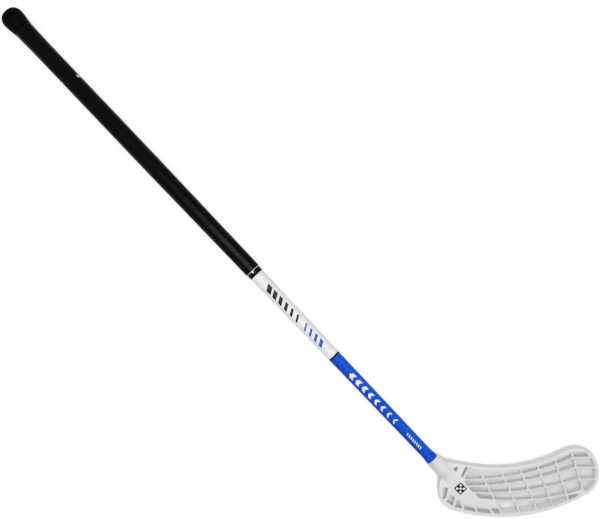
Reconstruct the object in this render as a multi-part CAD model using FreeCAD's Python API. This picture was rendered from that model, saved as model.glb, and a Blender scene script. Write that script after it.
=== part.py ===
import FreeCAD, Part
import math
import os

from FreeCAD import Rotation, Vector

# Floorball stick, millimetres. It is built along its shaft: X runs from the butt end to the blade, Y is
# the side that the toe points to and Z is up. At the end it is laid on the floor on knob, heel and toe.

# Shaft stations along X
KNOB_END_WALL = 6.0
PLUG_FLANGE = 3.0
KNOB_TO_GRIP = 0.5
TAPER_START = 322.0
GRIP_END = 532.5
GRIP_TO_TAPE = 1.0
END_TAPE_WIDTH = 8.0
TRIM_START = 708.0
TRIM_WIDTH = 3.0
SLIM_END = 915.2
MOUTH = 923.2
SOCKET_DEPTH = 31.0
SHAFT_IN_SOCKET = 30.0

# Shaft diameters and layers
HANDLE_DIAMETER = 24.4
MIDDLE_DIAMETER = 18.6
TIP_DIAMETER = 16.6
SHAFT_WALL = 2.0
FILM = 0.2
FIT = 0.05

# Grip tape and the tape below it
GRIP_THICKNESS = 1.25
GRIP_TURNS = 18
GRIP_SEAM = 0.6
SEAM_ON_TOP = 135.0
END_TAPE_THICKNESS = 0.35
END_TAPE_GAP = 1.3
END_TAPE_NOTCH = 5.0

# Knob: station and radius along its outside, from the small flat on its end
KNOB_PROFILE = ((0.0, 6.0), (3.2, 13.8), (8.0, 16.2), (15.0, 16.8), (24.0, 15.9), (34.5, 14.5))
PLUG_LENGTH = 26.0
PLUG_WALL = 2.0

# Collar, glue, end plug and screws at the blade
COLLAR_LENGTH = 10.0
COLLAR_BAND = COLLAR_LENGTH / 3
COLLAR_FLARE = 0.9
COLLAR_EDGE = 0.6
GLUE = 0.3
GLUE_SETBACK = 0.5
END_PLUG_LENGTH = 26.0
SCREW_STATIONS = (8.0, 21.0)
SCREW_DIAMETER = 3.3
SCREW_LENGTH = 11.0
SCREW_HEAD_DIAMETER = 6.4
SCREW_HEAD_HEIGHT = 2.0
SCREW_HEAD_ROUNDING = 0.45 * SCREW_HEAD_HEIGHT
SCREW_HEAD_ROOM = 0.4
SEAT_WALL = 1.5
CROSS_LENGTH = 0.62 * SCREW_HEAD_DIAMETER
CROSS_WIDTH = 1.1
CROSS_DEPTH = 1.2

# Neck sections behind the mouth: station, middle off the shaft's line, half width, half height
NECK_SECTIONS = ((0.0, 0.4, 10.7, 10.7), (14.8, 2.0, 12.1, 10.9), (28.8, 2.2, 12.2, 10.4),
                 (39.8, 1.8, 12.2, 8.4), (50.8, 1.4, 12.0, 6.2), (58.8, 1.2, 11.6, 4.6))
NECK_FILLET = 4.0

# Blade, in its own plane: U runs along the blade to the toe and V up to the rim on top
BLADE_SETBACK = 1.8
LIE_ANGLE = 46.45
BLADE_THICKNESS = 12.0
HOOK_RADIUS = 1000.0
BOWL_RADIUS = 260.0
BOWL_SPAN = 20.0
APEX = (50.0, -25.0)
APEX_HEIGHT = 0.6
EDGE_ROUNDING = 1.5
RIM_SLOPE = 2.0
RIM_SLOPE_HEIGHT = 9.0
# Outline from the upper side of the neck round to its lower side: tangent arcs of radius and turn
OUTLINE_START = (14.6, 0.8)
OUTLINE_HEADING = -8.3
OUTLINE_ARCS = ((1420.0, 2.2), (242.0, 31.5), (36.75, -110.4), (68.3, -14.9), (28.1, -49.2), (262.0, -47.1),
                (27.9, -57.2), (55.0, -38.3))
# Spot inside the neck through which two lines close the outline
OUTLINE_CLOSING = (20.7, -21.7)

# Lattice: long ribs as curves through three points, cross ribs as a place on one level and a lean
TOP_RIM = 7.0
BOTTOM_RIM = 6.1
TOE_RIM = 5.2
RIB_WIDTH = 2.4
CELL_CORNER = 1.2
CELL_DRAFT = 0.3
BOTTOM_SLOPE = 4.5
BOTTOM_SLOPE_SHARE = 0.3
TOE_SLOPE = 2.5
PLATE_RAMP = 1.5
LONG_RIBS = (((70.1, -57.5), (129.8, -59.5), (226.6, -45.8)),
             ((57.9, -47.6), (129.2, -44.8), (219.7, -27.9)),
             ((50.3, -37.8), (128.8, -30.3), (215.4, -9.2)),
             ((44.3, -27.6), (128.7, -19.7), (209.4, 3.8)))
CROSS_RIB_LEVEL = -40.0
CROSS_RIB_REACH = (-150.0, 100.0)
CROSS_RIBS = ((82.2, 0.511), (112.5, 0.471), (141.1, 0.432), (168.2, 0.393), (195.9, 0.355), (223.4, 0.318))
# Ends of the long ribs on the toe: arc of the outline and share of the way along it
TOE_STOPS = ((4, 0.98), (3, 0.97), (2, 0.97), (2, 0.67), (2, 0.45))
TOE_BENDS = ((4, 0.55), (3, 0.39), (2, 0.85))

# Openings of the heel and next to the neck, each an outline with rounded corners
HEEL_SLOTS = (((16.6, -39.3), (22.1, -41.1), (19.4, -57.2), (14.4, -58.4)),
              ((27.7, -51.7), (32.7, -55.5), (29.7, -69.4), (20.3, -61.9)),
              ((35.3, -59.5), (39.8, -61.0), (44.7, -73.6), (33.5, -71.5)),
              ((47.4, -67.6), (60.2, -70.0), (65.7, -78.5), (47.0, -74.9)),
              ((64.8, -70.6), (82.2, -72.1), (89.4, -80.9), (69.2, -78.9)),
              ((29.3, -10.4), (38.4, -7.8), (33.1, -16.3)),
              ((48.0, -8.2), (51.6, -8.2), (44.4, -23.3), (40.8, -23.4)))
HEEL_TOP_CELL = ((45.8, -27.5), (54.1, -8.9))
HEEL_BOTTOM_CELL = ((92.5, -80.7), (86.7, -71.8))

# Spots of the rim nearer to the shaft's line than this belong to the heel, the others to the toe
HEEL_LIMIT = 13.6

# Label on the smooth plate
LABEL_CENTRE = (40.8, -41.1)
LABEL_SIDE = 13.6
LABEL_CORNER = 1.5
LABEL_THICKNESS = 0.3

KNOB_END = KNOB_PROFILE[-1][0]
KNOB_WIDEST = max(KNOB_PROFILE, key=lambda spot: spot[1])
GRIP_START = KNOB_END + KNOB_TO_GRIP
TUBE_START = KNOB_END_WALL + PLUG_FLANGE
TAPE_START = GRIP_END + GRIP_TO_TAPE
TAPE_END = TAPE_START + END_TAPE_WIDTH
SOCKET_RADIUS = TIP_DIAMETER / 2 + GLUE
SCREW_SEAT = SOCKET_RADIUS + SEAT_WALL
SCREW_HOLE = SCREW_DIAMETER + 2 * FIT
HALF = BLADE_THICKNESS / 2


def shaft_radius(x):
    """Outer radius of the bare tube at station x."""
    stations = ((0.0, HANDLE_DIAMETER), (TAPER_START, HANDLE_DIAMETER), (TRIM_START, MIDDLE_DIAMETER),
                (SLIM_END, TIP_DIAMETER), (MOUTH + SOCKET_DEPTH, TIP_DIAMETER))
    for (x0, d0), (x1, d1) in zip(stations, stations[1:]):
        if x <= x1:
            return (d0 + (d1 - d0) * (x - x0) / (x1 - x0)) / 2


def stations_between(x0, x1):
    """The ends of a stretch of shaft and the corners of its taper in between."""
    corners = [x for x in (TAPER_START, TRIM_START, SLIM_END) if x0 < x < x1]
    return [x0] + corners + [x1]


def revolve(points):
    """Solid of revolution about X from a closed outline of (x, radius) points."""
    wire = Part.makePolygon([Vector(x, 0, r) for x, r in points + [points[0]]])
    return Part.Face(wire).revolve(Vector(0, 0, 0), Vector(1, 0, 0), 360)


def sleeve(x0, x1, inner, thickness):
    """Sleeve that follows the shaft, its inside a given distance off the bare tube."""
    xs = stations_between(x0, x1)
    inside = [(x, shaft_radius(x) + inner) for x in xs]
    outside = [(x, shaft_radius(x) + inner + thickness) for x in reversed(xs)]
    return revolve(inside + outside)


def cylinder(x0, x1, radius):
    return Part.makeCylinder(radius, x1 - x0, Vector(x0, 0, 0), Vector(1, 0, 0))


def make_shaft_tube():
    tube = sleeve(TUBE_START, MOUTH + SHAFT_IN_SOCKET, -SHAFT_WALL, SHAFT_WALL)
    return tube.cut(screw_holes())


def make_butt_plug():
    """Flanged cup with its stem in the tube."""
    bore = HANDLE_DIAMETER / 2 - SHAFT_WALL
    flange = cylinder(KNOB_END_WALL, TUBE_START, HANDLE_DIAMETER / 2)
    stem = cylinder(TUBE_START, TUBE_START + PLUG_LENGTH, bore - FIT)
    hollow = cylinder(TUBE_START, TUBE_START + PLUG_LENGTH, bore - PLUG_WALL)
    return flange.fuse(stem.cut(hollow)).removeSplitter()


def make_end_knob():
    """Swollen knob with a small flat end, hollow for the plug and the end of the tube."""
    curve = Part.BSplineCurve()
    curve.interpolate([Vector(x, 0, r) for x, r in KNOB_PROFILE])
    cavity = HANDLE_DIAMETER / 2 + FIT
    corners = [KNOB_PROFILE[-1], (KNOB_END, cavity), (KNOB_END_WALL, cavity), (KNOB_END_WALL, 0.0),
               (0.0, 0.0), KNOB_PROFILE[0]]
    inside = Part.makePolygon([Vector(x, 0, r) for x, r in corners])
    face = Part.Face(Part.Wire([curve.toShape()] + inside.Edges))
    return face.revolve(Vector(0, 0, 0), Vector(1, 0, 0), 360)


def make_grip_tape():
    """Band wound round the handle: a sleeve parted by one spiral seam."""
    band = sleeve(GRIP_START, GRIP_END, FIT, GRIP_THICKNESS)
    pitch = (GRIP_END - GRIP_START) / GRIP_TURNS
    radius = HANDLE_DIAMETER / 2
    deep = 4 * GRIP_THICKNESS
    path = Part.makeHelix(pitch, pitch * (GRIP_TURNS + 2), radius, 0, True)
    lead = math.ceil((SEAM_ON_TOP - GRIP_START) / pitch) + 0.5
    half = GRIP_SEAM / 2
    corners = [Vector(radius - deep, 0, -half), Vector(radius + deep, 0, -half),
               Vector(radius + deep, 0, half), Vector(radius - deep, 0, half)]
    profile = Part.makePolygon(corners + corners[:1])
    seam = Part.Wire(path.Edges).makePipeShell([profile], True, True)
    seam.rotate(Vector(0, 0, 0), Vector(0, 1, 0), 90)
    seam.translate(Vector(SEAM_ON_TOP - lead * pitch, 0, 0))
    return band.cut(seam)


def make_grip_end_tape():
    """One turn of tape whose ends meet on the upper side with a small gap and a notch."""
    band = sleeve(TAPE_START, TAPE_END, FILM + 2 * FIT, END_TAPE_THICKNESS)
    half = END_TAPE_GAP / 2
    notch = END_TAPE_NOTCH / 2
    middle = (TAPE_START + TAPE_END) / 2
    outline = [Vector(TAPE_START - 1, -notch, 0), Vector(middle, -half, 0), Vector(TAPE_END + 1, -half, 0),
               Vector(TAPE_END + 1, half, 0), Vector(middle, half, 0), Vector(TAPE_START - 1, notch, 0)]
    gap = Part.Face(Part.makePolygon(outline + outline[:1])).extrude(Vector(0, 0, HANDLE_DIAMETER))
    return band.cut(gap)


def make_white_film():
    return sleeve(GRIP_END + FIT, TRIM_START, FIT, FILM)


def make_trim_ring():
    return sleeve(TRIM_START, TRIM_START + TRIM_WIDTH, FIT, FILM)


def make_blue_film():
    return sleeve(TRIM_START + TRIM_WIDTH, MOUTH - 2 * FIT, FIT, FILM)


def make_joint_collar():
    """Blue collar that flares towards the blade."""
    x1 = MOUTH - 2 * FIT
    x0 = x1 - COLLAR_LENGTH
    base = FILM + 2 * FIT
    flared = TIP_DIAMETER / 2 + base + COLLAR_FLARE
    inside = [(x, shaft_radius(x) + base) for x in stations_between(x0, x1)]
    outside = [(x1, flared - COLLAR_EDGE), (x1 - COLLAR_EDGE, flared), (x1 - COLLAR_BAND, flared),
               (x0, shaft_radius(x0) + base + FILM)]
    return revolve(inside + outside)


def screw_holes():
    """Straight holes from the seats of the screws to just past their points."""
    depth = SCREW_LENGTH + GLUE_SETBACK
    return Part.makeCompound([Part.makeCylinder(SCREW_HOLE / 2, depth, Vector(MOUTH + x, 0, -SCREW_SEAT))
                              for x in SCREW_STATIONS])


def make_socket_glue():
    layer = sleeve(MOUTH + GLUE_SETBACK, MOUTH + SHAFT_IN_SOCKET, 0.0, GLUE)
    return layer.cut(screw_holes())


def make_shaft_end_plug():
    end = MOUTH + SHAFT_IN_SOCKET - GLUE_SETBACK
    plug = cylinder(end - END_PLUG_LENGTH, end, TIP_DIAMETER / 2 - SHAFT_WALL - FIT)
    return plug.cut(screw_holes())


def make_screw(x):
    """Pan-head screw from below with a cross recess."""
    shank = SCREW_LENGTH - SCREW_DIAMETER / 2
    base = Vector(MOUTH + x, 0, -SCREW_SEAT)
    body = Part.makeCylinder(SCREW_DIAMETER / 2, shank, base)
    tip = Part.makeCone(SCREW_DIAMETER / 2, SCREW_DIAMETER / 8, SCREW_LENGTH - shank,
                        base + Vector(0, 0, shank))
    foot = base - Vector(0, 0, SCREW_HEAD_HEIGHT)
    head = Part.makeCylinder(SCREW_HEAD_DIAMETER / 2, SCREW_HEAD_HEIGHT, foot)
    rim = [edge for edge in head.Edges if edge.BoundBox.ZMax < foot.z + SCREW_HEAD_HEIGHT / 2]
    head = head.makeFillet(SCREW_HEAD_ROUNDING, rim)
    arms = [Part.makeBox(lx, ly, CROSS_DEPTH, foot - Vector(lx / 2, ly / 2, 0))
            for lx, ly in ((CROSS_LENGTH, CROSS_WIDTH), (CROSS_WIDTH, CROSS_LENGTH))]
    return body.fuse([tip, head]).removeSplitter().cut(arms[0].fuse(arms[1]))


def make_blade_screws():
    return Part.makeCompound([make_screw(x) for x in SCREW_STATIONS])


def rim_point(arc, share, inset=0.0):
    """Point at a share of the way along one arc of the blade's outline, moved inwards."""
    u, v = OUTLINE_START
    heading = math.radians(OUTLINE_HEADING)
    for index, (radius, turn) in enumerate(OUTLINE_ARCS):
        sweep = math.radians(turn)
        side = math.copysign(1.0, sweep)
        cu, cv = u - side * radius * math.sin(heading), v + side * radius * math.cos(heading)
        if index == arc:
            angle = heading + sweep * share
            reach = radius + side * inset
            return cu + side * reach * math.sin(angle), cv - side * reach * math.cos(angle)
        heading += sweep
        u, v = cu + side * radius * math.sin(heading), cv - side * radius * math.cos(heading)


def outline_edges(inset=0.0):
    """Arcs round the blade from the upper side of the neck to its lower side, moved inwards."""
    edges = []
    for arc in range(len(OUTLINE_ARCS)):
        spots = [rim_point(arc, share, inset) for share in (0.0, 0.5, 1.0)]
        edges.append(Part.Arc(*[Vector(u, v, 0) for u, v in spots]).toShape())
    return edges


def closing_edges():
    """Two lines that close the outline inside the neck."""
    spots = [rim_point(len(OUTLINE_ARCS) - 1, 1.0), OUTLINE_CLOSING, rim_point(0, 0.0)]
    return Part.makePolygon([Vector(u, v, 0) for u, v in spots]).Edges


def bowl(low, high):
    """Piece of a torus between two offsets of the blade's curved middle surface."""
    hub = Vector(APEX[0], APEX[1], APEX_HEIGHT - BOWL_RADIUS)
    span = math.radians(BOWL_SPAN)
    arcs = []
    for reach in (BOWL_RADIUS + low, BOWL_RADIUS + high):
        spots = [hub + Vector(0, reach * math.sin(a), reach * math.cos(a)) for a in (-span, 0.0, span)]
        arcs.append(Part.Arc(*spots).toShape())
    sides = [Part.makeLine(arcs[0].valueAt(a), arcs[1].valueAt(a)) for a in arcs[0].ParameterRange]
    face = Part.Face(Part.Wire([arcs[0], sides[1], arcs[1], sides[0]]))
    axle = Vector(APEX[0], 0, APEX_HEIGHT - HOOK_RADIUS)
    face.rotate(axle, Vector(0, 1, 0), -BOWL_SPAN)
    return face.revolve(axle, Vector(0, 1, 0), 2 * BOWL_SPAN)


def middle_height(u, v):
    """Height of the blade's middle surface over a point of its plane."""
    reach = HOOK_RADIUS - BOWL_RADIUS + math.sqrt(BOWL_RADIUS ** 2 - (v - APEX[1]) ** 2)
    return APEX_HEIGHT - HOOK_RADIUS + math.sqrt(reach ** 2 - (u - APEX[0]) ** 2)


def between(low, high, face):
    """What stands over a face of the blade's plane between two offsets of its middle surface."""
    reach = 10 * BLADE_THICKNESS
    face.translate(Vector(0, 0, -reach / 2))
    return face.extrude(Vector(0, 0, reach)).common(bowl(low, high))


def inset_corners(corners, distances):
    """Corners of a convex outline whose sides move inwards; side i runs from corner i to the next."""
    count = len(corners)
    turn = sum(corners[i - 1][0] * corners[i][1] - corners[i][0] * corners[i - 1][1] for i in range(count))
    side = math.copysign(1.0, turn)
    lines = []
    for i in range(count):
        (u0, v0), (u1, v1) = corners[i], corners[(i + 1) % count]
        length = math.hypot(u1 - u0, v1 - v0)
        a, b = -side * (v1 - v0) / length, side * (u1 - u0) / length
        lines.append((a, b, a * u0 + b * v0 + distances[i]))
    moved = []
    for i in range(count):
        (a, b, c), (d, e, f) = lines[i - 1], lines[i]
        det = a * e - b * d
        moved.append(((c * e - b * f) / det, (a * f - c * d) / det))
    return moved


def rounded_wire(corners, radius, height):
    """Closed outline with rounded corners at one height; the radius shrinks where a side is short."""
    count = len(corners)
    spots = [Vector(u, v, height) for u, v in corners]
    arms = [((spots[i - 1] - spots[i]).normalize(), (spots[(i + 1) % count] - spots[i]).normalize())
            for i in range(count)]
    spread = [a.getAngle(b) / 2 for a, b in arms]
    for i in range(count):
        length = (spots[i] - spots[i - 1]).Length
        radius = min(radius, 0.9 * length / (1 / math.tan(spread[i]) + 1 / math.tan(spread[i - 1])))
    ends = []
    for spot, (a, b), half in zip(spots, arms, spread):
        reach = radius / math.tan(half)
        tip = spot + (a + b).normalize() * (radius / math.sin(half) - radius)
        ends.append((spot + a * reach, tip, spot + b * reach))
    edges = []
    for i in range(count):
        edges.append(Part.Arc(*ends[i]).toShape())
        edges.append(Part.makeLine(ends[i][2], ends[(i + 1) % count][0]))
    return Part.Wire(edges)


def cell_cutter(corners, drafts):
    """Tapered plug for one opening: full size on the upper face, its sides drawn in below."""
    middle = [sum(spot[k] for spot in corners) / len(corners) for k in (0, 1)]
    top = middle_height(*middle) + HALF
    spare = HALF
    wires = []
    for depth in (-spare, BLADE_THICKNESS + spare):
        moved = inset_corners(corners, [draft * depth / BLADE_THICKNESS for draft in drafts])
        wires.append(rounded_wire(moved, CELL_CORNER, top - depth))
    return Part.makeLoft(wires, True, True)


def rib_level(row, u):
    """Level of a long rib: a curve through its three points."""
    (u1, v1), (u2, v2), (u3, v3) = LONG_RIBS[row]
    slope = (v2 - v1) / (u2 - u1)
    bend = ((v3 - v1) / (u3 - u1) - slope) / (u3 - u2)
    return v1 + slope * (u - u1) + bend * (u - u1) * (u - u2)


def cross_rib(column, v):
    """Point of a cross rib on one level."""
    base, lean = CROSS_RIBS[column]
    return base - lean * (v - CROSS_RIB_LEVEL), v


def on_rib(row, column):
    """Crossing of a long rib and a cross rib."""
    v = CROSS_RIB_LEVEL
    for _ in range(20):
        v = rib_level(row, cross_rib(column, v)[0])
    return cross_rib(column, v)


def on_rim(column, inset, pick):
    """Where a cross rib meets the inner edge of the rim: pick the highest or the lowest spot."""
    rib = Part.makeLine(*[Vector(*cross_rib(column, v), 0) for v in CROSS_RIB_REACH])
    hits = []
    for edge in outline_edges(inset):
        gap, pairs, _ = rib.distToShape(edge)
        if gap < 1e-6:
            hits += [(pair[0].x, pair[0].y) for pair in pairs]
    return pick(hits, key=lambda spot: spot[1])


def lattice_columns():
    """Crossings of each cross rib from the bottom rim up to the top rim."""
    columns = []
    for column in range(len(CROSS_RIBS)):
        crossings = [on_rib(row, column) for row in range(len(LONG_RIBS))]
        columns.append([on_rim(column, BOTTOM_RIM, min)] + crossings + [on_rim(column, TOP_RIM, max)])
    return columns


def bottom_draft(left, right):
    """Slope of the bottom rim's inner wall, less where the row narrows."""
    height = min(math.dist(left[0], left[1]), math.dist(right[0], right[1]))
    return min(BOTTOM_SLOPE, BOTTOM_SLOPE_SHARE * height)


def middle_cells(columns):
    """Openings between neighbouring cross ribs."""
    rib = RIB_WIDTH / 2
    rows = len(LONG_RIBS)
    cells = []
    for left, right in zip(columns, columns[1:]):
        for row in range(rows + 1):
            corners = [left[row], right[row], right[row + 1], left[row + 1]]
            sides = [rib if row else 0.0, rib, rib if row < rows else 0.0, rib]
            drafts = [CELL_DRAFT if row else bottom_draft(left, right)] + [CELL_DRAFT] * 3
            cells.append((corners, sides, drafts))
    last_left, last_right = columns[-2], columns[-1]
    wedge = len(cells) - rows - 1
    cells[wedge] = ([last_left[0], last_right[0], last_left[1]], [0.0, rib, rib], [CELL_DRAFT] * 3)
    return cells


def heel_cells(first):
    """Openings between the smooth plate and the first cross rib."""
    rib = RIB_WIDTH / 2
    cells = []
    for row in range(1, len(LONG_RIBS)):
        corners = [LONG_RIBS[row - 1][0], first[row], first[row + 1], LONG_RIBS[row][0]]
        cells.append((corners, [rib] * 4, [CELL_DRAFT] * 3 + [PLATE_RAMP]))
    low, high = HEEL_TOP_CELL
    cells.append(([low, first[-2], first[-1], high], [rib, rib, 0.0, 0.0], [CELL_DRAFT] * 4))
    low, high = HEEL_BOTTOM_CELL
    cells.append(([low, first[0], cross_rib(0, high[1]), high], [0.0, rib, 0.0, 0.0],
                  [BOTTOM_SLOPE / 2] + [CELL_DRAFT] * 3))
    for slot in HEEL_SLOTS:
        cells.append((slot, [0.0] * len(slot), [CELL_DRAFT] * len(slot)))
    return cells


def toe_cells(last):
    """Openings between the last cross rib and the rim round the toe."""
    rib = RIB_WIDTH / 2
    stops = [rim_point(arc, share, TOE_RIM) for arc, share in TOE_STOPS]
    bends = [rim_point(arc, share, TOE_RIM) for arc, share in TOE_BENDS]
    cells = []
    for row, bend in enumerate(bends):
        corners = [last[row + 1], stops[row], bend, stops[row + 1], last[row + 2]]
        low = rib if row else 0.0
        cells.append((corners, [low, 0.0, 0.0, rib, rib],
                      [CELL_DRAFT, TOE_SLOPE, TOE_SLOPE, CELL_DRAFT, CELL_DRAFT]))
    cells.append(([last[-2], stops[-2], stops[-1], last[-1]], [rib, 0.0, 0.0, rib], [CELL_DRAFT] * 4))
    return cells


def make_cutters():
    """One tapered plug for every opening of the blade."""
    columns = lattice_columns()
    cells = middle_cells(columns) + heel_cells(columns[0]) + toe_cells(columns[-1])
    return [cell_cutter(inset_corners(corners, sides), drafts) for corners, sides, drafts in cells]


def outer_edges(body, upper):
    """Edges of the slab's upper or lower face along the outline."""
    closing = Part.makeCompound(closing_edges())
    found = []
    for side in body.Faces:
        if isinstance(side.Surface, Part.Toroid):
            for edge in side.Edges:
                spot = edge.valueAt((edge.FirstParameter + edge.LastParameter) / 2)
                outside = closing.distToShape(Part.Vertex(spot.x, spot.y, 0))[0] > 1e-3
                if outside and (spot.z > middle_height(spot.x, spot.y)) == upper:
                    found.append(edge)
    return found


def make_rimmed_body():
    """Curved slab over the blade's outline, its wall sloped above and its lower edge rounded."""
    body = between(-HALF, HALF, Part.Face(Part.Wire(outline_edges() + closing_edges())))
    body = body.makeChamfer(RIM_SLOPE_HEIGHT, RIM_SLOPE, outer_edges(body, True))
    return body.makeFillet(EDGE_ROUNDING, outer_edges(body, False))


def to_stick(shape):
    """Turn a shape of the blade's plane to the shaft and move it just behind the mouth of the socket."""
    shape.rotate(Vector(0, 0, 0), Vector(0, 0, 1), LIE_ANGLE)
    shape.translate(Vector(MOUTH + BLADE_SETBACK, 0, 0))
    return shape


def make_neck():
    """Round socket end that flattens into the plate."""
    rings = []
    for x, middle, width, height in NECK_SECTIONS:
        centre = Vector(MOUTH + x, middle, 0)
        side, top = Vector(0, max(width, height + FIT), 0), Vector(0, 0, height)
        ring = Part.Ellipse(centre + side, centre + top, centre)
        rings.append(Part.Wire([ring.toShape()]))
    return Part.makeLoft(rings, True, False)


def meeting_edges(joined, first, second):
    """Edges of a joined shape where its two parts meet."""
    meeting = []
    for edge in joined.Edges:
        spot = Part.Vertex(edge.valueAt((edge.FirstParameter + edge.LastParameter) / 2))
        if max(part.Shells[0].distToShape(spot)[0] for part in (first, second)) < 1e-3:
            meeting.append(edge)
    return meeting


def make_blade():
    slab, neck = to_stick(make_rimmed_body()), make_neck()
    joined = slab.fuse(neck)
    joined = joined.makeFillet(NECK_FILLET, meeting_edges(joined, slab, neck))
    blade = joined.cut([to_stick(cutter) for cutter in make_cutters()])
    bore = cylinder(MOUTH - 1, MOUTH + SOCKET_DEPTH, SOCKET_RADIUS)
    seats = [Part.makeCylinder(SCREW_HEAD_DIAMETER / 2 + SCREW_HEAD_ROOM, HANDLE_DIAMETER,
                               Vector(MOUTH + x, 0, -SCREW_SEAT), Vector(0, 0, -1)) for x in SCREW_STATIONS]
    return blade.cut([bore, screw_holes()] + seats).removeSplitter()


def make_blade_label():
    """Rounded square on the smooth plate, its sides along the shaft."""
    half = LABEL_SIDE / 2
    turn = math.radians(-LIE_ANGLE)
    corners = []
    for a, b in ((-half, -half), (half, -half), (half, half), (-half, half)):
        corners.append((LABEL_CENTRE[0] + a * math.cos(turn) - b * math.sin(turn),
                        LABEL_CENTRE[1] + a * math.sin(turn) + b * math.cos(turn)))
    face = Part.Face(rounded_wire(corners, LABEL_CORNER, 0.0))
    return to_stick(between(HALF + FIT, HALF + FIT + LABEL_THICKNESS, face))


def support_points():
    """Spots under the rim of the blade that can touch the floor, along the shaft's axes."""
    heel, toe = [], []
    for arc in range(len(OUTLINE_ARCS)):
        for share in (0.0, 0.2, 0.4, 0.6, 0.8, 1.0):
            u, v = rim_point(arc, share, EDGE_ROUNDING)
            spot = Vector(u, v, middle_height(u, v) - HALF)
            spot = Rotation(Vector(0, 0, 1), LIE_ANGLE).multVec(spot) + Vector(MOUTH + BLADE_SETBACK, 0, 0)
            (heel if spot.y < HEEL_LIMIT else toe).append(spot)
    return heel, toe


def resting_turn():
    """Rotation that lays the stick on its knob, heel and toe."""
    heel, toe = support_points()
    knob = Vector(KNOB_WIDEST[0], 0, -KNOB_WIDEST[1])
    roll = pitch = 0.0
    for _ in range(30):
        about_x = Rotation(Vector(1, 0, 0), math.degrees(roll))
        turn = Rotation(Vector(0, 1, 0), math.degrees(pitch)).multiply(about_x)
        low_heel = min((turn.multVec(spot) for spot in heel), key=lambda spot: spot.z)
        low_toe = min((turn.multVec(spot) for spot in toe), key=lambda spot: spot.z)
        roll += (low_heel.z - low_toe.z) / (low_toe.y - low_heel.y)
        pitch += (low_heel.z + pitch * knob.x - knob.z) / (low_heel.x - knob.x)
    return turn, math.degrees(roll), math.degrees(pitch)


PIECES = {"shaft_tube": make_shaft_tube, "butt_plug": make_butt_plug, "end_knob": make_end_knob,
          "grip_tape": make_grip_tape, "grip_end_tape": make_grip_end_tape, "white_film": make_white_film,
          "trim_ring": make_trim_ring, "blue_film": make_blue_film, "joint_collar": make_joint_collar,
          "socket_glue": make_socket_glue, "shaft_end_plug": make_shaft_end_plug,
          "blade_screws": make_blade_screws, "blade": make_blade, "blade_label": make_blade_label}


def main():
    shapes = {name: make() for name, make in PIECES.items()}
    turn, roll, pitch = resting_turn()
    for shape in shapes.values():
        shape.Placement = FreeCAD.Placement(Vector(0, 0, 0), turn).multiply(shape.Placement)
    box = Part.makeCompound([shapes["end_knob"], shapes["blade"]]).optimalBoundingBox(False, False)
    move = Vector(-box.Center.x, -box.Center.y, -box.ZMin)
    os.makedirs("parts", exist_ok=True)
    for name, shape in shapes.items():
        shape.translate(move)
        shape.exportStep(f"parts/{name}.step")
        print(name, shape.isValid(), len(shape.Solids), len(shape.Faces), round(shape.Volume))
    print("roll and pitch", round(roll, 3), round(pitch, 3), "move", [round(c, 3) for c in move])
    print("size", round(box.XLength, 1), round(box.YLength, 1), round(box.ZLength, 1))


main()
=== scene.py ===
import math
import bmesh
import bpy
from mathutils import Matrix, Vector


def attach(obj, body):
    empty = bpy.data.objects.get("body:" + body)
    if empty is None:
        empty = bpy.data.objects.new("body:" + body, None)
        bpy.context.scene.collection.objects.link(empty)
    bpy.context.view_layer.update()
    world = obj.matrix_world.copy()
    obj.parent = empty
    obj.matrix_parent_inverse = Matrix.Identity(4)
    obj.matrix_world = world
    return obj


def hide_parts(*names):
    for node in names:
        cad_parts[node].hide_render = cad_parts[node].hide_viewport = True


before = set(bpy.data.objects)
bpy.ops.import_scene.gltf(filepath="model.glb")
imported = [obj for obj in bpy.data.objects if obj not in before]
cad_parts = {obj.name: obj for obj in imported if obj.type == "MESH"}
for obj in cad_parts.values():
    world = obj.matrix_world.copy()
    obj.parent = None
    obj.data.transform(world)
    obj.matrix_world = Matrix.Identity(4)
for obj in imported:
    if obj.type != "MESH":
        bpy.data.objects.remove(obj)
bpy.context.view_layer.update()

MM = 0.001

# How the stick lies: turned about its shaft, then tipped, then moved onto the floor
LAY_ROLL = math.radians(4.701)
LAY_PITCH = math.radians(0.206)
LAY_MOVE = Vector((-562.762, -72.815, 16.975)) * MM
LAY = Matrix.Translation(LAY_MOVE) @ Matrix.Rotation(LAY_PITCH, 4, "Y") @ Matrix.Rotation(LAY_ROLL, 4, "X")

# Shaft stations and radii, in millimetres from the butt end
TAPER_START, TRIM_START = 322.0, 708.0
HANDLE_RADIUS, MIDDLE_RADIUS = 12.2, 9.3
FILM = 0.3
WELD = 1e-3

# Grip: one band wound from the knob to the middle of the shaft, each turn over the edge of the last
GRIP_START, GRIP_END = 35.0, 532.5
GRIP_TURNS, SPARE_TURNS = 18, 3
TURNS_BEFORE_SEAM = 5
GRIP_PITCH = (GRIP_END - GRIP_START) / GRIP_TURNS
SEAM_ON_TOP = 135.0
GRIP_STEPS = 48
GRIP_FOOT = 0.05
GRIP_BAND = ((0.0, 1.3), (0.06, 1.4), (0.25, 1.43), (1.0, 1.43), (4.0, 1.38), (8.0, 1.31), (14.0, 1.3),
             (21.0, 1.3), (GRIP_PITCH - 0.3, 1.3), (GRIP_PITCH, 1.3))
FIRST_TURN_SWELL, FIRST_TURN_LENGTH = 0.75, 60.0
LAST_TURN_SWELL, LAST_TURN_LENGTH = 0.45, 170.0

# Pale marks along one turn of the grip's seam: their station, their half width in turns and the two sides
# where they show
PALE_MARK_STATION = SEAM_ON_TOP + 4.0
PALE_MARK_WIDTH, PALE_MARK_GROWTH = 0.055, 0.15
PALE_MARK_SIDE, PALE_MARK_SPREAD = 0.22, 0.07

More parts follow.
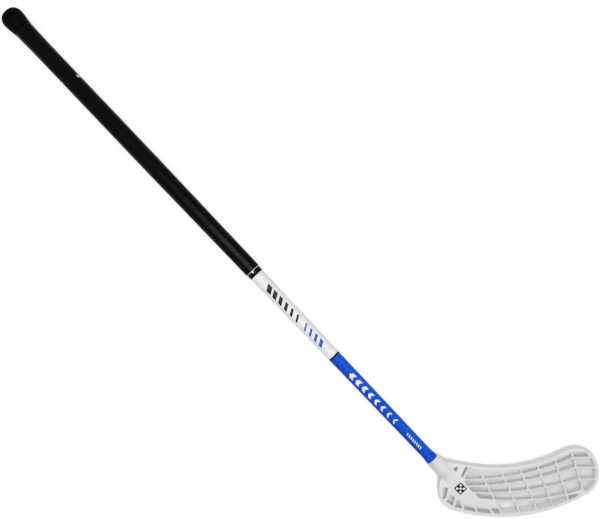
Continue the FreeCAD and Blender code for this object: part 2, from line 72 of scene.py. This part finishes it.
# Tape below the grip, its ends meeting on the upper side
TAPE_START, TAPE_END = 533.5, 541.5
TAPE_THICKNESS, TAPE_EDGE = 0.45, 0.15
TAPE_GAP, TAPE_NOTCH = 1.3, 5.0
TAPE_STEPS = 72

# Prints on the films, in metres along and round the shaft, painted light and shade across the blue film in
# turns round it, and the label's chequer in millimetres
WHITE_INK, BLACK_INK = (0.83, 0.815, 0.825), (0.005, 0.005, 0.006)
# The second and third blues are painted light on the blue film's left side and painted shade on its right;
# the next line gives where, in turns round the shaft, one gives way to the other
BLUE_INK, BLUE_PAINTED_LIGHT, BLUE_PAINTED_SHADE = (0.026, 0.12, 0.46), (0.004, 0.102, 0.665), (0.011, 0.03, 0.36)
PAINTED_SIDE_SHADE_FROM, PAINTED_SIDE_SHADE_TO = -0.22, 0.1
WHITE_ROWS = (
    (BLACK_INK, {"Start": 0.566, "Pitch": 0.0125, "Count": 6.0, "Width": 0.72, "Thinning": 0.5, "Lean": 0.6,
                 "Half height": 0.0052}),
    (BLUE_INK, {"Start": 0.647, "Pitch": 0.0105, "Count": 4.0, "Width": 0.3, "Thinning": -0.4, "Lean": 0.6,
                "Half height": 0.0052}),
)
BLUE_ROWS = (
    (WHITE_INK, {"Start": 0.744, "Pitch": 0.0135, "Count": 8.0, "Width": 0.55, "Thinning": 0.4, "Lean": -0.8,
                 "Fold": 1.0, "Half height": 0.0046}),
    (WHITE_INK, {"Start": 0.868, "Pitch": 0.004, "Count": 8.0, "Width": 0.5, "Half height": 0.002}),
)
LABEL_MIDDLE, LABEL_SQUARE, LABEL_SQUARES = (982.9, 1.25), 3.5, 3
LABEL_BLACK, LABEL_PALE = (0.005, 0.005, 0.005), (0.78, 0.78, 0.78)

# Other colours, and how the grain of a surface varies
GRIP_BLACK, GRIP_PALE = (0.0006, 0.0006, 0.0008), (0.6, 0.59, 0.6)
INNER_BLACK = (0.10, 0.10, 0.105)
DRIFT_SCALE, SPECK = 28.0, 0.12

# Floor: what it gives back, what is seen of it, and its glow by how open it lies to the sky
FLOOR_HALF = 6.0
PAPER, PAPER_SEEN = (0.8, 0.8, 0.8), (0.2, 0.2, 0.2)
SHADE_REACH = 0.03
SLOT_OPEN, CELL_OPEN, EDGE_OPEN, FREE_OPEN = 0.15, 0.3, 0.44, 0.5
SLOT_GLOW, CELL_GLOW, FREE_GLOW = 0.34, 0.49, 0.34

# Light and camera
WHITE = (1.0, 1.0, 1.0)
SKY_LOW, SKY_HIGH = 0.1, 0.55
SOFTBOX_SPOT, SOFTBOX_AIM = Vector((-0.08, 0.0, 2.4)), Vector((-0.08, 0.0, 0.0))
SOFTBOX_LENGTH, SOFTBOX_WIDTH, SOFTBOX_POWER = 2.6, 0.28, 42.0
CAMERA_TURN = math.radians(46.45)
CAMERA_SPOT = Vector((0.0069, -0.0101, 1.2147))
FOCAL_LENGTH, SENSOR_WIDTH = 48.0, 36.0


def shaft_radius(x):
    """Outer radius of the bare tube under the grip and the tape below it."""
    share = min(max((x - TAPER_START) / (TRIM_START - TAPER_START), 0.0), 1.0)
    return HANDLE_RADIUS + (MIDDLE_RADIUS - HANDLE_RADIUS) * share


def finish_piece(bm, name, stands_for):
    """Turn a bmesh into an object that lies with the stick in the place of a node."""
    bmesh.ops.remove_doubles(bm, verts=bm.verts, dist=WELD)
    bmesh.ops.recalc_face_normals(bm, faces=bm.faces)
    bm.transform(LAY @ Matrix.Scale(MM, 4))
    mesh = bpy.data.meshes.new(name)
    bm.to_mesh(mesh)
    bm.free()
    mesh.shade_smooth()
    piece = bpy.data.objects.new(name, mesh)
    bpy.context.scene.collection.objects.link(piece)
    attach(piece, "root")
    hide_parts(stands_for)
    return piece


def on_surface(vert, height):
    """Move a point straight off the shaft's axis to a height over the bare tube."""
    reach = math.hypot(vert.co.y, vert.co.z)
    vert.co.yz *= (shaft_radius(vert.co.x) + height) / reach


def grip_swell(x):
    """How much fuller the grip is than its band: at its first turns and towards its last."""
    first = max(1.0 - (x - GRIP_START) / FIRST_TURN_LENGTH, 0.0)
    last = max(1.0 - (GRIP_END - x) / LAST_TURN_LENGTH, 0.0)
    return FIRST_TURN_SWELL * first ** 2 + LAST_TURN_SWELL * last


def make_grip_wrap():
    """Wound band: its lapped section carried round and along the shaft, then cut off square at both ends."""
    bm = bmesh.new()
    start = SEAM_ON_TOP - TURNS_BEFORE_SEAM * GRIP_PITCH
    spots = [bm.verts.new((start + x, 0.0, HANDLE_RADIUS + height)) for x, height in GRIP_BAND]
    section = spots + [bm.edges.new(pair) for pair in zip(spots, spots[1:])]
    turns = GRIP_TURNS + SPARE_TURNS
    bmesh.ops.spin(bm, geom=section, axis=(1.0, 0.0, 0.0), angle=-2 * math.pi * turns,
                   dvec=(GRIP_PITCH / GRIP_STEPS, 0.0, 0.0), steps=turns * GRIP_STEPS)
    bmesh.ops.remove_doubles(bm, verts=bm.verts, dist=WELD)
    for x, side in ((GRIP_START, -1.0), (GRIP_END, 1.0)):
        bmesh.ops.bisect_plane(bm, geom=bm.verts[:] + bm.edges[:] + bm.faces[:], plane_co=(x, 0.0, 0.0),
                               plane_no=(side, 0.0, 0.0), clear_outer=True)
    for vert in bm.verts:
        height = math.hypot(vert.co.y, vert.co.z) - HANDLE_RADIUS
        on_surface(vert, height + grip_swell(vert.co.x))
    ends = [edge for edge in bm.edges if edge.is_boundary]
    for made in bmesh.ops.extrude_edge_only(bm, edges=ends)["geom"]:
        if isinstance(made, bmesh.types.BMVert):
            on_surface(made, GRIP_FOOT)
    return finish_piece(bm, "grip_wrap", "grip_tape")


def gap_at(x):
    """Half of the opening between the two ends of the tape: a notch that narrows to a slit."""
    middle = (TAPE_START + TAPE_END) / 2
    share = max((middle - x) / (middle - TAPE_START), 0.0)
    return (TAPE_GAP + (TAPE_NOTCH - TAPE_GAP) * share) / 2


def make_tape_band():
    """One turn of tape with chamfered edges, open on the upper side."""
    bm = bmesh.new()
    radius = shaft_radius(TAPE_START)
    middle = (TAPE_START + TAPE_END) / 2
    low, high = FILM, FILM + TAPE_THICKNESS
    section = ((TAPE_START, low), (middle, low), (TAPE_END, low), (TAPE_END, high - TAPE_EDGE),
               (TAPE_END - TAPE_EDGE, high), (middle, high), (TAPE_START + TAPE_EDGE, high),
               (TAPE_START, high - TAPE_EDGE))
    face = bm.faces.new([bm.verts.new((x, 0.0, radius + height)) for x, height in section])
    bmesh.ops.spin(bm, geom=[face], axis=(1.0, 0.0, 0.0), angle=math.pi, steps=TAPE_STEPS)
    for vert in bm.verts:
        height = math.hypot(vert.co.y, vert.co.z) - radius
        share = math.atan2(-vert.co.y, vert.co.z) / math.pi
        reach = shaft_radius(vert.co.x) + height
        slit = gap_at(vert.co.x) / reach
        turn = slit + 2.0 * (math.pi - slit) * share
        vert.co.y, vert.co.z = -reach * math.sin(turn), reach * math.cos(turn)
    return finish_piece(bm, "tape_band", "grip_end_tape")


def node(tree, kind, inputs=None, **settings):
    """Add a shader node, set its properties and fill its inputs with values or links."""
    made = tree.nodes.new(kind)
    for key, value in settings.items():
        setattr(made, key, value)
    for key, value in (inputs or {}).items():
        if isinstance(value, bpy.types.NodeSocket):
            tree.links.new(value, made.inputs[key])
        else:
            made.inputs[key].default_value = value
    return made


def calc(tree, operation, *values):
    """Math node on values or sockets; gives its output socket."""
    return node(tree, "ShaderNodeMath", dict(enumerate(values)), operation=operation).outputs[0]


def times(tree, first, second):
    """Product of two values or sockets."""
    return calc(tree, "MULTIPLY", first, second)


def spread(tree, value, low, high, to_low=0.0, to_high=1.0):
    """Map a value from one range to another, held at its ends."""
    return node(tree, "ShaderNodeMapRange", {0: value, 1: low, 2: high, 3: to_low, 4: to_high}).outputs[0]


def rgba(colour):
    """Colour with its alpha; a link stays as it is."""
    return colour if isinstance(colour, bpy.types.NodeSocket) else (*colour, 1.0)


def tint(tree, mask, below, above):
    """Colour above where the mask is one, colour below elsewhere."""
    return node(tree, "ShaderNodeMix", {0: mask, 6: rgba(below), 7: rgba(above)}, data_type="RGBA").outputs[2]


def shader_group(name, inputs, outputs):
    """Empty node group with named sockets; gives the tree, its inputs and its output node."""
    tree = bpy.data.node_groups.new(name, "ShaderNodeTree")
    for label, kind, value in inputs:
        socket = tree.interface.new_socket(label, in_out="INPUT", socket_type=kind)
        if value is not None:
            socket.default_value = value
    for label, kind in outputs:
        tree.interface.new_socket(label, in_out="OUTPUT", socket_type=kind)
    return tree, tree.nodes.new("NodeGroupInput").outputs, tree.nodes.new("NodeGroupOutput")


NUMBER, COLOUR, VECTOR = "NodeSocketFloat", "NodeSocketColor", "NodeSocketVector"


def make_stick_axes():
    """Place on the stick in metres: along the shaft, round it from the upper side, and across it."""
    tree, given, out = shader_group(
        "stick_axes", [("Vector", VECTOR, None)],
        [("Along", NUMBER), ("Around", NUMBER), ("Arc", NUMBER), ("Across", NUMBER)])
    lay = node(tree, "ShaderNodeMapping",
               {"Vector": given["Vector"], "Location": LAY_MOVE, "Rotation": (LAY_ROLL, LAY_PITCH, 0.0)},
               vector_type="TEXTURE")
    x, y, z = node(tree, "ShaderNodeSeparateXYZ", {0: lay.outputs[0]}).outputs
    turn = calc(tree, "ARCTAN2", y, z)
    off = calc(tree, "SQRT", calc(tree, "ADD", times(tree, y, y), times(tree, z, z)))
    tree.links.new(x, out.inputs["Along"])
    tree.links.new(calc(tree, "DIVIDE", turn, 2 * math.pi), out.inputs["Around"])
    tree.links.new(times(tree, turn, off), out.inputs["Arc"])
    tree.links.new(y, out.inputs["Across"])
    return tree


def make_surface_grain():
    """Fine grain of a moulded or cast surface, with a slow drift of its shade and gloss."""
    tree, given, out = shader_group(
        "surface_grain",
        [("Vector", VECTOR, None), ("Grain size", NUMBER, 0.001), ("Colour", COLOUR, None),
         ("Drift", NUMBER, 0.1), ("Gloss", NUMBER, 0.5)],
        [("Colour", COLOUR), ("Roughness", NUMBER), ("Height", NUMBER)])
    place = given["Vector"]
    fineness = calc(tree, "DIVIDE", 1.0, given["Grain size"])
    fine = node(tree, "ShaderNodeTexNoise", {"Vector": place, "Scale": fineness, "Detail": 3.0}).outputs[0]
    slow = node(tree, "ShaderNodeTexNoise", {"Vector": place, "Scale": DRIFT_SCALE, "Detail": 4.0}).outputs[0]
    sway = times(tree, calc(tree, "SUBTRACT", slow, 0.5), given["Drift"])
    shade = calc(tree, "ADD", sway, 1.0)
    tinted = node(tree, "ShaderNodeVectorMath", {0: given["Colour"], 1: shade}, operation="MULTIPLY")
    speck = times(tree, calc(tree, "SUBTRACT", fine, 0.5), SPECK)
    gloss = calc(tree, "ADD", calc(tree, "ADD", given["Gloss"], speck), sway)
    tree.links.new(tinted.outputs[0], out.inputs["Colour"])
    tree.links.new(gloss, out.inputs["Roughness"])
    tree.links.new(fine, out.inputs["Height"])
    return tree


def make_printed_bars():
    """Row of printed bars: slanted, or folded into chevrons, each thinner than the last."""
    tree, given, out = shader_group(
        "printed_bars",
        [("Along", NUMBER, None), ("Across", NUMBER, None), ("Start", NUMBER, 0.0), ("Pitch", NUMBER, 0.01),
         ("Count", NUMBER, 3.0), ("Width", NUMBER, 0.5), ("Thinning", NUMBER, 0.0), ("Lean", NUMBER, 0.5),
         ("Fold", NUMBER, 0.0), ("Half height", NUMBER, 0.005)],
        [("Mask", NUMBER)])
    away = calc(tree, "ABSOLUTE", given["Across"])
    folded = node(tree, "ShaderNodeMix", {0: given["Fold"], 2: given["Across"], 3: away}).outputs[0]
    leaning = calc(tree, "ADD", given["Along"], times(tree, folded, given["Lean"]))
    place = calc(tree, "DIVIDE", calc(tree, "SUBTRACT", leaning, given["Start"]), given["Pitch"])
    passed = calc(tree, "DIVIDE", calc(tree, "FLOOR", place), given["Count"])
    width = calc(tree, "SUBTRACT", given["Width"], times(tree, passed, given["Thinning"]))
    on_bar = calc(tree, "LESS_THAN", calc(tree, "FRACT", place), width)
    begun = calc(tree, "GREATER_THAN", place, 0.0)
    in_row = times(tree, begun, calc(tree, "LESS_THAN", place, given["Count"]))
    in_height = calc(tree, "LESS_THAN", away, given["Half height"])
    tree.links.new(times(tree, times(tree, on_bar, in_row), in_height), out.inputs["Mask"])
    return tree


STICK_AXES = make_stick_axes()
SURFACE_GRAIN = make_surface_grain()
PRINTED_BARS = make_printed_bars()


def new_material(name):
    """Material with its shader and the object's coordinates."""
    made = bpy.data.materials.new(name)
    made.use_nodes = True
    tree = made.node_tree
    place = tree.nodes.new("ShaderNodeTexCoord").outputs["Object"]
    return made, tree, tree.nodes["Principled BSDF"], place


def grain(tree, shader, place, colour, gloss, size, depth, drift, sockets):
    """Feed the shader through the grain group and set its other sockets."""
    made = node(tree, "ShaderNodeGroup",
                {"Vector": place, "Grain size": size, "Colour": rgba(colour), "Drift": drift, "Gloss": gloss},
                node_tree=SURFACE_GRAIN).outputs
    bump = node(tree, "ShaderNodeBump", {"Strength": 1.0, "Distance": depth, "Height": made["Height"]})
    tree.links.new(made["Colour"], shader.inputs["Base Color"])
    tree.links.new(made["Roughness"], shader.inputs["Roughness"])
    tree.links.new(bump.outputs[0], shader.inputs["Normal"])
    for label, value in sockets.items():
        shader.inputs[label.replace("_", " ")].default_value = value


def grained(name, colour, gloss, size, depth, drift=0.15, **sockets):
    """Moulded or cast finish: one colour with fine grain."""
    made, tree, shader, place = new_material(name)
    grain(tree, shader, place, colour, gloss, size, depth, drift, sockets)
    return made


def stick_axes(tree, place):
    """Outputs of the group that tells a place on the stick."""
    return node(tree, "ShaderNodeGroup", {"Vector": place}, node_tree=STICK_AXES).outputs


def printed(name, right, left, rows, gloss, shine):
    """Glossy film with painted shade on its right side blending into painted light on its left, where the two
    colours differ, and rows of printed bars on its upper side.
    """
    made, tree, shader, place = new_material(name)
    axes = stick_axes(tree, place)
    # Painted shade and light: the right side's colour below the range round the shaft, the left side's colour
    # above it
    colour = tint(tree, spread(tree, axes["Around"], PAINTED_SIDE_SHADE_FROM, PAINTED_SIDE_SHADE_TO), right, left)
    for ink, values in rows:
        spot = {"Along": axes["Along"], "Across": axes["Arc"]}
        bars = node(tree, "ShaderNodeGroup", {**spot, **values}, node_tree=PRINTED_BARS)
        colour = tint(tree, bars.outputs["Mask"], colour, ink)
    grain(tree, shader, place, colour, gloss, 0.002, 0.00001, 0.04, {"Specular IOR Level": shine})
    return made


def make_grip_material():
    """Soft black band with pale marks at the sides of one turn, along its seam."""
    made, tree, shader, place = new_material("grip")
    axes = stick_axes(tree, place)
    past = calc(tree, "SUBTRACT", axes["Along"], PALE_MARK_STATION * MM)
    phase = calc(tree, "SUBTRACT", calc(tree, "DIVIDE", past, GRIP_PITCH * MM), axes["Around"])
    width = calc(tree, "ADD", times(tree, axes["Around"], PALE_MARK_GROWTH), PALE_MARK_WIDTH)
    near = calc(tree, "LESS_THAN", calc(tree, "ABSOLUTE", phase), width)
    low_side = calc(tree, "COMPARE", calc(tree, "ABSOLUTE", axes["Around"]), PALE_MARK_SIDE, PALE_MARK_SPREAD)
    colour = tint(tree, times(tree, near, low_side), GRIP_BLACK, GRIP_PALE)
    grain(tree, shader, place, colour, 0.25, 0.0008, 0.00002, 0.2, {"Specular IOR Level": 0.05})
    return made


def make_label_material():
    """Black label with a small chequered field."""
    made, tree, shader, place = new_material("label")
    axes = stick_axes(tree, place)
    steps, inside = [], []
    for way, middle in zip((axes["Along"], axes["Across"]), LABEL_MIDDLE):
        square = calc(tree, "DIVIDE", calc(tree, "SUBTRACT", way, middle * MM), LABEL_SQUARE * MM)
        inside.append(calc(tree, "LESS_THAN", calc(tree, "ABSOLUTE", square), LABEL_SQUARES / 2))
        steps.append(calc(tree, "ROUND", square))
    odd = calc(tree, "PINGPONG", calc(tree, "ADD", *steps), 1.0)
    pale = calc(tree, "LESS_THAN", odd, 0.5)
    colour = tint(tree, times(tree, pale, times(tree, *inside)), LABEL_BLACK, LABEL_PALE)
    grain(tree, shader, place, colour, 0.3, 0.002, 0.00001, 0.1, {"Specular IOR Level": 0.08})
    return made


# Colour, gloss, grain size and grain depth of each piece, then its drift where it isn't the usual one
MATERIALS = {
    "shaft_tube": grained("composite", (0.03, 0.03, 0.032), 0.35, 0.0012, 0.00002),
    "butt_plug": grained("inner_plastic", INNER_BLACK, 0.5, 0.001, 0.00003),
    "end_knob": grained("knob_rubber", (0.001, 0.001, 0.0012), 0.45, 0.0009, 0.00006, 0.4,
                        Specular_IOR_Level=0.025),
    "white_film": printed("white_print", WHITE_INK, WHITE_INK, WHITE_ROWS, 0.35, 0.15),
    "trim_ring": grained("black_print", BLACK_INK, 0.35, 0.002, 0.00001, Specular_IOR_Level=0.05),
    # Blue film: painted shade on its right side, painted light on its left
    "blue_film": printed("blue_print", BLUE_PAINTED_SHADE, BLUE_PAINTED_LIGHT, BLUE_ROWS, 0.35, 0.06),
    "joint_collar": grained("blue_collar", (0.008, 0.068, 0.58), 0.4, 0.001, 0.00002,
                            Specular_IOR_Level=0.08),
    "socket_glue": grained("hot_melt", (0.62, 0.56, 0.42), 0.35, 0.002, 0.00003),
    "shaft_end_plug": grained("end_nylon", INNER_BLACK, 0.5, 0.001, 0.00003),
    "blade_screws": grained("screw_steel", (0.55, 0.55, 0.56), 0.3, 0.0008, 0.00001, Metallic=1.0),
    "blade": grained("blade_white", (0.785, 0.769, 0.778), 0.42, 0.0016, 0.00003, 0.06,
                     Subsurface_Weight=0.85, Subsurface_Radius=(1.0, 1.0, 1.0), Subsurface_Scale=0.006),
    "blade_label": make_label_material(),
}


def dress(piece, made):
    """Give a piece one material."""
    piece.data.materials.clear()
    piece.data.materials.append(made)


for name, made in MATERIALS.items():
    dress(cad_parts[name], made)
grip_wrap = make_grip_wrap()
dress(grip_wrap, make_grip_material())
tape_band = make_tape_band()
dress(tape_band, grained("black_tape", (0.004, 0.004, 0.004), 0.4, 0.001, 0.00003, Specular_IOR_Level=0.05))


def seen_rays(tree):
    """One for rays that show the background: straight from the camera, mirrored or through glass."""
    rays = node(tree, "ShaderNodeLightPath").outputs
    mirrored = calc(tree, "MAXIMUM", rays["Is Glossy Ray"], rays["Is Transmission Ray"])
    return calc(tree, "MAXIMUM", rays["Is Camera Ray"], mirrored)


def make_floor_material():
    """Paper that is lifted to white as seen, except where the stick shades it."""
    made = bpy.data.materials.new("paper_floor")
    made.use_nodes = True
    tree = made.node_tree
    tree.nodes.clear()
    paper = node(tree, "ShaderNodeBsdfDiffuse", {"Color": rgba(PAPER)})
    shown = node(tree, "ShaderNodeBsdfDiffuse", {"Color": rgba(PAPER_SEEN)})
    clear = node(tree, "ShaderNodeAmbientOcclusion", {"Distance": SHADE_REACH}, samples=16).outputs["AO"]
    shaded = spread(tree, clear, SLOT_OPEN, CELL_OPEN, SLOT_GLOW, CELL_GLOW)
    opened = spread(tree, clear, EDGE_OPEN, FREE_OPEN, 0.0, FREE_GLOW)
    lift = calc(tree, "ADD", shaded, opened)
    glow = node(tree, "ShaderNodeEmission", {"Color": rgba(WHITE), "Strength": lift})
    lifted = node(tree, "ShaderNodeAddShader", {0: shown.outputs[0], 1: glow.outputs[0]})
    mix = node(tree, "ShaderNodeMixShader", {0: seen_rays(tree), 1: paper.outputs[0], 2: lifted.outputs[0]})
    node(tree, "ShaderNodeOutputMaterial", {"Surface": mix.outputs[0]})
    return made


def make_floor():
    """Plain square that the stick lies on."""
    bm = bmesh.new()
    bmesh.ops.create_grid(bm, x_segments=1, y_segments=1, size=FLOOR_HALF)
    mesh = bpy.data.meshes.new("floor")
    bm.to_mesh(mesh)
    bm.free()
    floor = bpy.data.objects.new("floor", mesh)
    bpy.context.scene.collection.objects.link(floor)
    mesh.materials.append(make_floor_material())


def make_softbox():
    """Long lamp straight over the stick, across its shaft."""
    lamp = bpy.data.lights.new("softbox", "AREA")
    lamp.shape = "RECTANGLE"
    lamp.size, lamp.size_y = SOFTBOX_WIDTH, SOFTBOX_LENGTH
    lamp.energy = SOFTBOX_POWER
    held = bpy.data.objects.new("softbox", lamp)
    held.location = SOFTBOX_SPOT
    held.rotation_euler = (SOFTBOX_AIM - SOFTBOX_SPOT).to_track_quat("-Z", "Y").to_euler()
    bpy.context.scene.collection.objects.link(held)


def make_sky():
    """Soft light that grows towards the zenith, in front of a white background."""
    world = bpy.data.worlds.new("studio")
    bpy.context.scene.world = world
    world.use_nodes = True
    tree = world.node_tree
    tree.nodes.clear()
    way = tree.nodes.new("ShaderNodeTexCoord").outputs["Generated"]
    height = node(tree, "ShaderNodeSeparateXYZ", {0: way}).outputs[2]
    level = spread(tree, height, 0.0, 1.0, SKY_LOW, SKY_HIGH)
    soft = node(tree, "ShaderNodeBackground", {"Color": rgba(WHITE), "Strength": level})
    white = node(tree, "ShaderNodeBackground", {"Color": rgba(WHITE), "Strength": 1.0})
    mix = node(tree, "ShaderNodeMixShader", {0: seen_rays(tree), 1: soft.outputs[0], 2: white.outputs[0]})
    node(tree, "ShaderNodeOutputWorld", {"Surface": mix.outputs[0]})


def make_camera():
    """Camera straight over the stick, turned so that the shaft runs down to the right."""
    lens = bpy.data.cameras.new("camera")
    lens.lens = FOCAL_LENGTH
    lens.sensor_width = SENSOR_WIDTH
    held = bpy.data.objects.new("camera", lens)
    held.location = CAMERA_SPOT
    held.rotation_euler = (0.0, 0.0, CAMERA_TURN)
    bpy.context.scene.collection.objects.link(held)
    bpy.context.scene.camera = held


make_floor()
make_softbox()
make_sky()
make_camera()
bpy.context.scene.view_settings.view_transform = "Standard"
